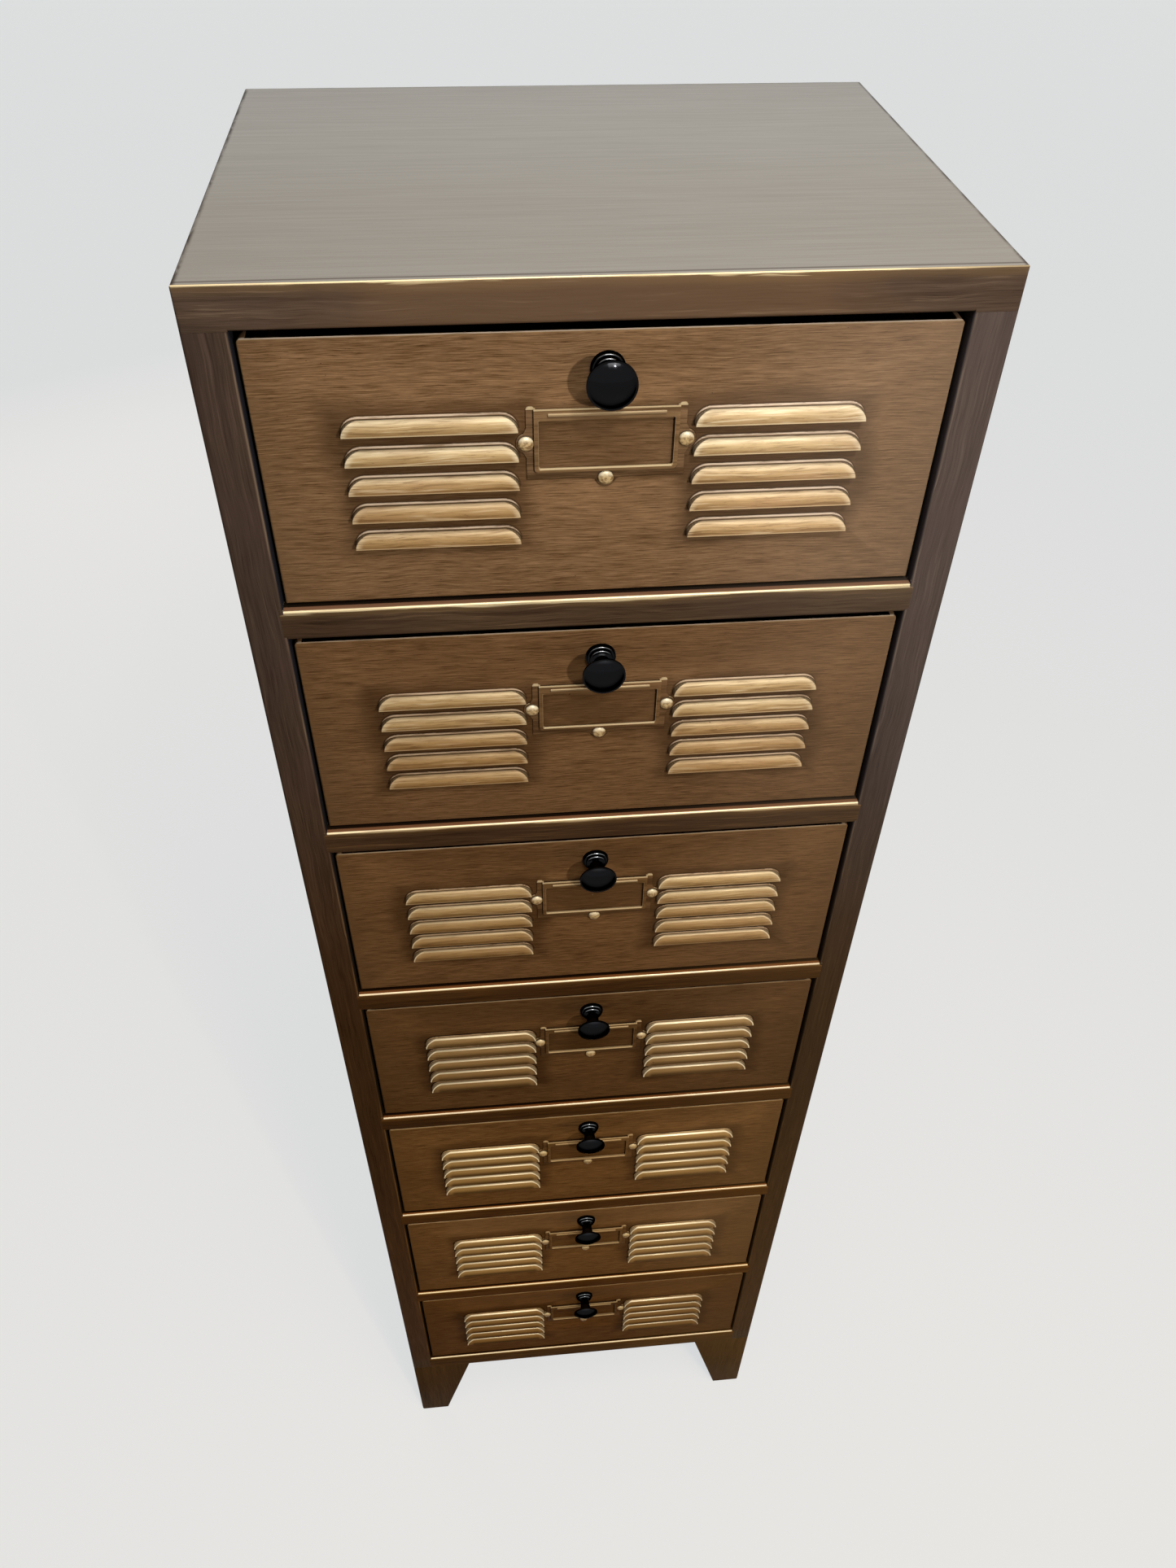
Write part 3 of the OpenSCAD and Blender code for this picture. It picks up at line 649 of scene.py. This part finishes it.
def frame_paint(name, across, brown, edge=None):
    """Dark brown paint with brush streaks; edge adds what is worn, and says how metallic it is."""
    p = Paint(name, specular=0.003)
    p.brush(across, long=0.024, thin=0.0006)
    p.cloud = p.noise((0.06, 0.06, 0.06), detail=3.0, rough=0.55, shift=8.0)
    tone = p.add(p.mul(p.fine, 0.40), p.mul(p.mid, 0.30), p.mul(p.broad, 0.30))
    dark, light, tint = brown
    colour = p.mix(p.ramp(tone, 0.30, 0.72), dark, light)
    colour = p.mix(p.mul(p.ramp(p.cloud, 0.45, 0.65), 0.5), colour, tint)
    colour = p.mix(p.mul(p.ramp(p.fine, 0.42, 0.30), 0.32), colour, [c * 0.45 for c in dark])
    metal = 0.0
    if edge:
        colour, metal = edge(p, colour)
    chip = p.noise((0.0026, 0.0026, 0.0022), detail=1.0, rough=0.5, shift=61.0)
    colour = p.mix(p.mul(p.ramp(chip, 0.87, 0.90), 0.7), colour, FRAME_CHIP)
    if edge is not top_edge:
        # painted sheen towards the right
        colour = p.mix(p.ramp(p.x, 0.0, RIGHT_SIDE, 0.0, 0.10), colour, RIGHT_SHEEN)
    if edge is stile_edge:
        colour = right_stile_tint(p, colour)
    # painted warm bounce light: the painted part is warmer low down and paler near the floor; it
    # is greyer on the feet
    painted = p.inv(metal)
    for start, end, change in ((1.18, MIDDLE, LOW_DOWN_TINT),
                               (MIDDLE, FLOORWARD, FLOORWARD_TINT),
                               (DECK_Z + 0.01, DECK_Z - 0.01, FEET_TINT)):
        colour = p.tinted(p.mul(p.ramp(p.z, start, end), painted), colour, change)
    p.bump((p.cloud, 0.03, 0.004), (p.fine, 0.22, 0.0002))
    return p.done(colour, p.ramp(p.fine, 0.3, 0.7, 0.48, 0.37), metal)


# Small parts

def holder_crease_shade(p, aside, up):
    """Painted shade in the creases on the plate along the sides and the foot of its raised
    channel.
    """
    beside = p.mul(p.near(aside, CHANNEL_X + 0.0003, 0.0007),
                   p.ramp(up, CHANNEL_Z - 0.0006, CHANNEL_Z))
    below = p.mul(p.near(up, CHANNEL_Z - 0.0003, 0.0007),
                  p.ramp(aside, CHANNEL_X + 0.0006, CHANNEL_X))
    return p.high(beside, below)


def holder_rub_and_highlight(p, aside, up, proud, raised):
    """Bright rubbed lines: the sill and sides of the window, the top fold and the bead; and a
    painted highlight on all that faces up.
    """
    across = p.ramp(aside, WINDOW_X + 0.0005, WINDOW_X - 0.0002)
    sill = p.mul(p.near(up, WINDOW_Z - 0.00035, 0.0006, full=0.0003), across)
    upright = p.mul(p.ramp(up, WINDOW_Z - 0.0006, WINDOW_Z),
                    p.ramp(up, WINDOW_TOP + 0.0004, WINDOW_TOP))
    jamb = p.mul(p.near(aside, WINDOW_X + 0.0003, 0.0005, full=0.0002), upright)
    top_fold = p.ramp(up, PLATE_LOW + PLATE_H + 0.0008, PLATE_LOW + PLATE_H + 0.0012)
    bead = p.mul(p.ramp(proud, 0.0026, 0.0030), p.ramp(p.mid, 0.3, 0.5, 0.35, 0.75))
    # painted highlight on all that faces up
    lit_from_above = p.ramp(p.nz, 0.3, 0.8)
    return p.high(p.mul(sill, raised), p.mul(jamb, raised, 0.35), p.mul(top_fold, 0.75),
                  p.mul(bead, 0.32), p.mul(lit_from_above, 0.6))


def holder_paint():
    """Bronze-brown like the fronts, with rubbed gold edges, painted highlights on what faces up,
    and painted shade in its creases and on what faces down.
    """
    p = Paint("holder_bronze", specular=0.004)
    p.brush(SIDEWAYS, long=0.018)
    up, proud = on_fronts(p)
    aside = p.mag(p.x)
    raised = p.ramp(proud, 0.0014, 0.0022)
    tone = p.add(p.mul(p.fine, 0.5), p.mul(p.broad, 0.5))
    colour = p.mix(p.ramp(tone, 0.38, 0.62), HOLDER_BROWN, HOLDER_BROWN_LIGHT)
    colour = p.mix(p.mul(raised, p.ramp(p.mid, 0.35, 0.6, 0.05, 0.30)), colour, GOLD_LOW)
    crease_shade = p.mul(holder_crease_shade(p, aside, up), p.inv(raised))
    colour = p.mix(p.mul(crease_shade, 0.9), colour, SHADE_AND_SPECKS)
    rub_and_highlight = holder_rub_and_highlight(p, aside, up, proud, raised)
    gilt = p.tinted(p.ramp(p.z, UPPER, LOWER), GOLD_PALE, HOLDER_LOW_TINT)
    colour = p.mix(rub_and_highlight, drawer_light_toned(p, colour), gilt)
    # painted shade on what faces down
    colour = p.mix(p.mul(p.ramp(p.nz, -0.4, -0.9), 0.8), colour, SHADE_AND_SPECKS)
    p.bump((p.fine, 0.25, 0.0002))
    return p.done(colour, p.ramp(p.fine, 0.3, 0.7, 0.46, 0.34), p.mul(rub_and_highlight, 0.30))


def rivet_paint():
    """Gold rivets with a painted highlight on top, and painted shade underneath and where they
    meet their tabs.
    """
    p = Paint("rivet_bronze", specular=0.05)
    proud = on_fronts(p)[1]
    spot = p.noise((0.0018, 0.0018, 0.0014), detail=3.0, rough=0.6)
    colour = p.mix(p.ramp(spot, 0.38, 0.60), RIVET_BROWN, GOLD)
    colour = p.mix(p.mul(p.ramp(p.nz, 0.05, 0.65), 0.9), colour, RIVET_TOP_HIGHLIGHT)
    colour = p.mix(p.mul(p.ramp(p.nz, -0.25, -0.8), 0.8), colour, RIVET_UNDER_SHADE)
    tab_shade = p.ramp(proud, PLATE_T + 0.0010, PLATE_T + 0.0004)
    colour = p.mix(p.mul(tab_shade, 0.9), colour, SHADE_AND_SPECKS)
    p.bump((spot, 0.30, 0.0004))
    # painted warm bounce towards the floor
    return p.done(p.tinted(p.ramp(p.z, UPPER, LOWER), colour, WARM_BOUNCE), 0.34, 0.25)


def knob_black():
    """Deep gloss black with faint waviness, a little dust on what faces up, and painted highlights
    where it faces the lamps.
    """
    p = Paint("knob_black")
    p.bsdf.inputs["Specular Tint"].default_value = (0.22, 0.22, 0.22, 1.0)
    wave = p.noise((0.006, 0.006, 0.006), detail=2.0, rough=0.5)
    dust = p.noise((0.0009, 0.0009, 0.0009), detail=3.0, rough=0.6, shift=9.0)
    dusty = p.mul(p.ramp(dust, 0.60, 0.8), p.ramp(p.nz, 0.2, 0.9, 0.05, 0.35))
    colour = p.mix(dusty, BLACK, BLACK_DUSTY)
    # painted highlights: more reflective where it faces the light, a little on the head, more on
    # the neck and foot rings
    behind = p.ramp(on_fronts(p)[1], 0.0125, 0.0105)
    lit = p.mul(p.ramp(p.nz, 0.50, 0.70), p.ramp(p.ny, -0.20, -0.40))
    head_glint = p.mul(p.ramp(p.nz, 0.56, 0.74), p.inv(behind))
    colour = p.mix(head_glint, colour, BLACK_HEAD_GLINT)
    colour = p.mix(p.mul(lit, behind), colour, BLACK_RING_GLINT)
    p.bump((wave, 0.06, 0.001))
    return p.done(colour, p.ramp(dust, 0.4, 0.8, 0.11, 0.18), 1.0)


def zinc():
    """Zinc plate with its faint crystal pattern and rolling marks."""
    p = Paint("zinc_plate", specular=0.5)
    p.brush(SIDEWAYS, long=0.12)
    spangle = p.new("ShaderNodeTexVoronoi")
    spangle.inputs["Scale"].default_value = 90.0
    p.put(spangle.inputs["Vector"], p.place)
    tone = p.split(spangle.outputs["Color"])[0]
    colour = p.mix(p.mul(tone, 0.35), ZINC, ZINC_LIGHT)
    colour = p.mix(p.mul(p.broad, 0.25), colour, ZINC_DULL)
    p.bump((p.fine, 0.1, 0.0002))
    return p.done(colour, p.ramp(tone, 0.0, 1.0, 0.34, 0.48), 0.9)


# Which piece has which look: the first start of a name that fits is used

rail = frame_paint("frame_bronze_rail", SIDEWAYS, RAIL_BROWN, rail_edge)
plain = frame_paint("frame_bronze_plain", UPRIGHT, STILE_BROWN)
plated = zinc()
LOOKS = {
    "top_panel": frame_paint("frame_bronze_top", SIDEWAYS, TOP_BROWN, top_edge),
    "bottom_panel": rail,
    "front_rail": rail,
    "side_panel": frame_paint("frame_bronze_upright", UPRIGHT, STILE_BROWN, stile_edge),
    "back_panel": plain,
    "foot": plain,
    "runners": plated,
    "drawer_front": front_paint("drawer_bronze_front", outside=True),
    "drawer_box": front_paint("drawer_bronze_inside", outside=False),
    "label_holder": holder_paint(),
    "label_rivets": rivet_paint(),
    "knob_screw": plated,
    "knob": knob_black(),
}
BEVEL_WIDTHS = {"top_panel": 0.0003, "foot": 0.0003, "side_panel": 0.0003,
                "label_holder": 0.00022, "drawer_front": 0.0002}
WELD = 0.000002                        # corners closer than this are joined
SHARP_BEVEL = 0.7                      # radians between faces that get a bevel
SHARP_SHADE = 0.52                     # and between faces that are shaded apart


def smooth_group(angle):
    """Shades smooth across every edge that turns by less than the angle."""
    g = bpy.data.node_groups.new("shade_smooth", "GeometryNodeTree")
    for way in ("INPUT", "OUTPUT"):
        g.interface.new_socket("Geometry", in_out=way, socket_type="NodeSocketGeometry")
    start = g.nodes.new("NodeGroupInput")
    end = g.nodes.new("NodeGroupOutput")
    turn = g.nodes.new("GeometryNodeInputMeshEdgeAngle")
    soft = g.nodes.new("FunctionNodeCompare")
    soft.operation = "LESS_EQUAL"
    soft.inputs[1].default_value = angle
    edges = g.nodes.new("GeometryNodeSetShadeSmooth")
    edges.domain = "EDGE"
    faces = g.nodes.new("GeometryNodeSetShadeSmooth")
    g.links.new(turn.outputs[0], soft.inputs[0])
    g.links.new(start.outputs[0], edges.inputs["Geometry"])
    g.links.new(soft.outputs[0], edges.inputs["Shade Smooth"])
    g.links.new(edges.outputs[0], faces.inputs["Geometry"])
    g.links.new(faces.outputs[0], end.inputs[0])
    return g


def by_name(table, name):
    """The entry of the table that the name starts with, or None."""
    return next((value for start, value in table.items() if name.startswith(start)), None)


def dress(obj, look, bevel_width, smooth):
    """Gives a CAD piece its material, and softens its edges with modifiers."""
    obj.data.materials.clear()
    obj.data.materials.append(look)
    obj.modifiers.new("weld", "WELD").merge_threshold = WELD
    if bevel_width:
        bevel = obj.modifiers.new("bevel", "BEVEL")
        bevel.width = bevel_width
        bevel.segments = 2
        bevel.limit_method = "ANGLE"
        bevel.angle_limit = SHARP_BEVEL
        bevel.harden_normals = False
    obj.modifiers.new("smooth", "NODES").node_group = smooth


# Floor and light

def floor(half=14.0, below=0.0005, glow=0.68):
    """Pale floor; it looks paler to the camera and in gloss than the light that it sends back."""
    mesh = bpy.data.meshes.new("floor")
    corners = [(-half, -half, 0), (half, -half, 0), (half, half, 0), (-half, half, 0)]
    mesh.from_pydata(corners, [], [(0, 1, 2, 3)])
    obj = bpy.data.objects.new("floor", mesh)
    bpy.context.scene.collection.objects.link(obj)
    obj.location.z = -below
    p = Paint("floor_pale", specular=0.1)
    soft = p.noise((0.6, 0.6, 0.6), detail=2.0, rough=0.5)
    colour = p.mix(soft, (0.26, 0.205, 0.145), (0.28, 0.222, 0.160))
    obj.data.materials.append(p.done(colour, 0.7))
    seen = p.new("ShaderNodeLightPath").outputs
    direct = p.high(seen["Is Camera Ray"], seen["Is Glossy Ray"], seen["Is Transmission Ray"])
    p.bsdf.inputs["Emission Color"].default_value = (0.95, 0.98, 1.0, 1.0)
    p.put(p.bsdf.inputs["Emission Strength"], p.mul(direct, glow))


def lamp(name, place, target, size, power, colour=(1.0, 1.0, 1.0), in_gloss=True):
    """Rectangular lamp of size metres, aimed at the target; it may be left out of gloss."""
    light = bpy.data.lights.new(name, "AREA")
    light.shape = "RECTANGLE"
    light.size, light.size_y = size
    light.energy = power
    light.color = colour
    obj = bpy.data.objects.new(name, light)
    bpy.context.scene.collection.objects.link(obj)
    obj.location = place
    obj.visible_glossy = in_gloss
    obj.rotation_euler = (Vector(target) - Vector(place)).to_track_quat("-Z", "Y").to_euler()


def studio(lit, seen_as):
    """World that lights the part evenly, and looks pale to the camera and in gloss."""
    world = bpy.data.worlds.new("studio")
    world.use_nodes = True
    nodes = world.node_tree.nodes
    links = world.node_tree.links
    rays = nodes.new("ShaderNodeLightPath").outputs
    direct = rays["Is Camera Ray"]
    for key in ("Is Glossy Ray", "Is Transmission Ray"):
        either = nodes.new("ShaderNodeMath")
        either.operation = "MAXIMUM"
        links.new(direct, either.inputs[0])
        links.new(rays[key], either.inputs[1])
        direct = either.outputs[0]
    level = nodes.new("ShaderNodeMapRange")
    level.inputs["To Min"].default_value = lit
    level.inputs["To Max"].default_value = seen_as
    links.new(direct, level.inputs["Value"])
    pale = nodes["Background"]
    pale.inputs[0].default_value = (0.96, 0.98, 1.0, 1.0)
    links.new(level.outputs[0], pale.inputs[1])
    bpy.context.scene.world = world


def photo_camera():
    """Camera where the photograph was taken from, recovered from the cabinet's straight edges."""
    forward = Vector((0.07768198, 0.71518832, -0.69460145)).normalized()
    right = Vector((0.99538536, -0.09500370, 0.01350122)).normalized()
    up = right.cross(forward)
    obj = bpy.data.objects.new("camera", bpy.data.cameras.new("camera"))
    bpy.context.scene.collection.objects.link(obj)
    obj.data.sensor_fit = "AUTO"
    obj.data.sensor_width = 36.0
    obj.data.lens = 27.647
    obj.data.clip_start = 0.02
    obj.data.clip_end = 60.0
    eye = (-0.06379, FRONT_Y - 0.52959, 1.53535)
    turned = Matrix((right, up, -forward)).transposed().to_4x4()
    obj.matrix_world = Matrix.Translation(eye) @ turned
    bpy.context.scene.camera = obj


shade_smooth = smooth_group(SHARP_SHADE)
for name, obj in NODES.items():
    dress(obj, by_name(LOOKS, name), by_name(BEVEL_WIDTHS, name), shade_smooth)

floor()
UPPER_DRAWERS = (0.0, -0.1, 1.2)
# the key lamp is small, for the edges of the knobs' shadows; the glint is what the knobs show
lamp("lamp_key", (0.29, -0.96, 1.565), (0.05, -0.14, 1.15), size=(0.03, 0.03), power=5.0,
     colour=(1.0, 0.985, 0.96), in_gloss=False)
lamp("lamp_over", (0.2, -0.8, 2.9), UPPER_DRAWERS, size=(1.2, 1.2), power=18.0)
lamp("lamp_glint", (0.33, -1.15, 2.5), UPPER_DRAWERS, size=(0.13, 0.13), power=7.0)
# warm light on the lowest drawers, and soft light on the back and the left side
lamp("lamp_low", (0.8, -1.3, 0.35), (0.0, -0.14, 0.45), size=(0.6, 0.6), power=2.3,
     colour=(1.0, 0.82, 0.55), in_gloss=False)
lamp("lamp_back", (-1.2, 2.4, 1.15), (0.0, 0.15, 0.60), size=(1.6, 1.2), power=8.0,
     in_gloss=False)
studio(lit=0.11, seen_as=0.90)
bpy.context.scene.view_settings.view_transform = "Standard"
photo_camera()
